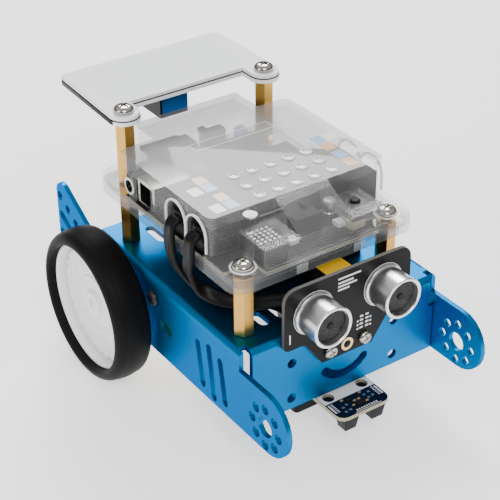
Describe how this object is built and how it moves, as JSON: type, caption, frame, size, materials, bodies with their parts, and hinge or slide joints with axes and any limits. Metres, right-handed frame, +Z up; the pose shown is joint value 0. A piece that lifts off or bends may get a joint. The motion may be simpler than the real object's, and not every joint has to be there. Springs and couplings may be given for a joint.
{
  "type": "two-wheel educational robot",
  "caption": "Small two-wheel robot on a blue sheet-metal chassis, with a clear electronics case, an ultrasonic sensor, a line sensor, a ball caster and an LED panel.",
  "frame": {"origin": "on the ground, under the middle of the bounding box", "axes": "-Y is the front with the distance sensor, +X is the right side seen from behind the front wall (the side away from the cables), +Z is up"},
  "size_m": [0.128, 0.166, 0.1139],
  "materials": {
    "blue_anodised": "blue anodised satin",
    "brass": "turned",
    "black_screw": "black oxide",
    "screw_steel": "nickel plated",
    "clear_plastic": "clear moulded",
    "circuit_board": "black solder mask",
    "diffuser": "milky",
    "bright_steel": "bright",
    "aluminium_can": "satin",
    "tyre": "moulded",
    "white_plastic": "moulded",
    "yellow_plastic": "moulded",
    "cable_jacket": "matte jacket",
    "black_plastic": "moulded"
  },
  "bodies": {
    "chassis": {"chassis": "blue_anodised", "lower_standoff_front_left": "brass", "lower_standoff_front_right": "brass", "lower_standoff_rear_left": "brass", "lower_standoff_rear_right": "brass", "upper_standoff_rear_left": "brass", "upper_standoff_rear_right": "brass", "case_screw_left": "screw_steel", "case_screw_right": "screw_steel", "panel_screw_left": "screw_steel", "panel_screw_right": "screw_steel", "sensor_screw_left": "screw_steel", "sensor_screw_right": "screw_steel", "caster_screw_left": "screw_steel", "caster_screw_right": "screw_steel", "side_screw_left": "black_screw", "side_screw_right": "black_screw", "case_base": "clear_plastic", "case_cover": "clear_plastic", "main_board": "circuit_board", "cable_socket_left_front": "black_plastic", "cable_socket_left_rear": "black_plastic", "cable_socket_right_front": "black_plastic", "cable_socket_right_rear": "black_plastic", "usb_socket": "bright_steel", "power_jack": "black_plastic", "wireless_module": "circuit_board", "buzzer": "black_plastic", "battery_pack": "black_plastic", "panel_board": "circuit_board", "panel_diffuser": "diffuser", "panel_socket": "black_plastic", "sensor_board": "circuit_board", "transducer_left": "aluminium_can", "transducer_right": "aluminium_can", "sensor_socket": "black_plastic", "line_board": "circuit_board", "line_detector_left": "black_plastic", "line_detector_right": "black_plastic", "line_socket": "black_plastic", "caster_housing": "black_plastic", "gearbox_left": "yellow_plastic", "gearbox_right": "yellow_plastic", "motor_left": "bright_steel", "motor_right": "bright_steel", "sensor_cable": "cable_jacket", "line_cable": "cable_jacket", "sensor_plug_case": "black_plastic", "line_plug_case": "black_plastic", "sensor_plug_far": "black_plastic", "line_plug_far": "black_plastic"},
    "left_wheel": {"tyre_left": "tyre", "wheel_hub_left": "white_plastic", "output_shaft_left": "white_plastic"},
    "right_wheel": {"tyre_right": "tyre", "wheel_hub_right": "white_plastic", "output_shaft_right": "white_plastic"},
    "caster_ball": {"caster_ball": "bright_steel"},
    "button": {"board_button": "black_plastic"},
    "switch": {"power_switch_lever": "black_plastic"}
  },
  "joints": [
    {"name": "left_wheel_spin", "type": "hinge", "parent": "chassis", "child": "left_wheel", "pos_m": [-0.056, 0.03397, 0.032], "axis": [1, 0, 0], "continuous": true},
    {"name": "right_wheel_spin", "type": "hinge", "parent": "chassis", "child": "right_wheel", "pos_m": [0.056, 0.03397, 0.032], "axis": [1, 0, 0], "continuous": true},
    {"name": "caster_ball_roll", "type": "hinge", "parent": "chassis", "child": "caster_ball", "pos_m": [0, -0.03002, 0.006], "axis": [1, 0, 0], "continuous": true},
    {"name": "button_press", "type": "slide", "parent": "chassis", "child": "button", "axis": [0, 0, -1], "range_m": [0, 0.0005], "stiffness_N_per_m": 300},
    {"name": "power_switch_slide", "type": "slide", "parent": "chassis", "child": "switch", "axis": [1, 0, 0], "range_m": [0, 0.002]}
  ]
}
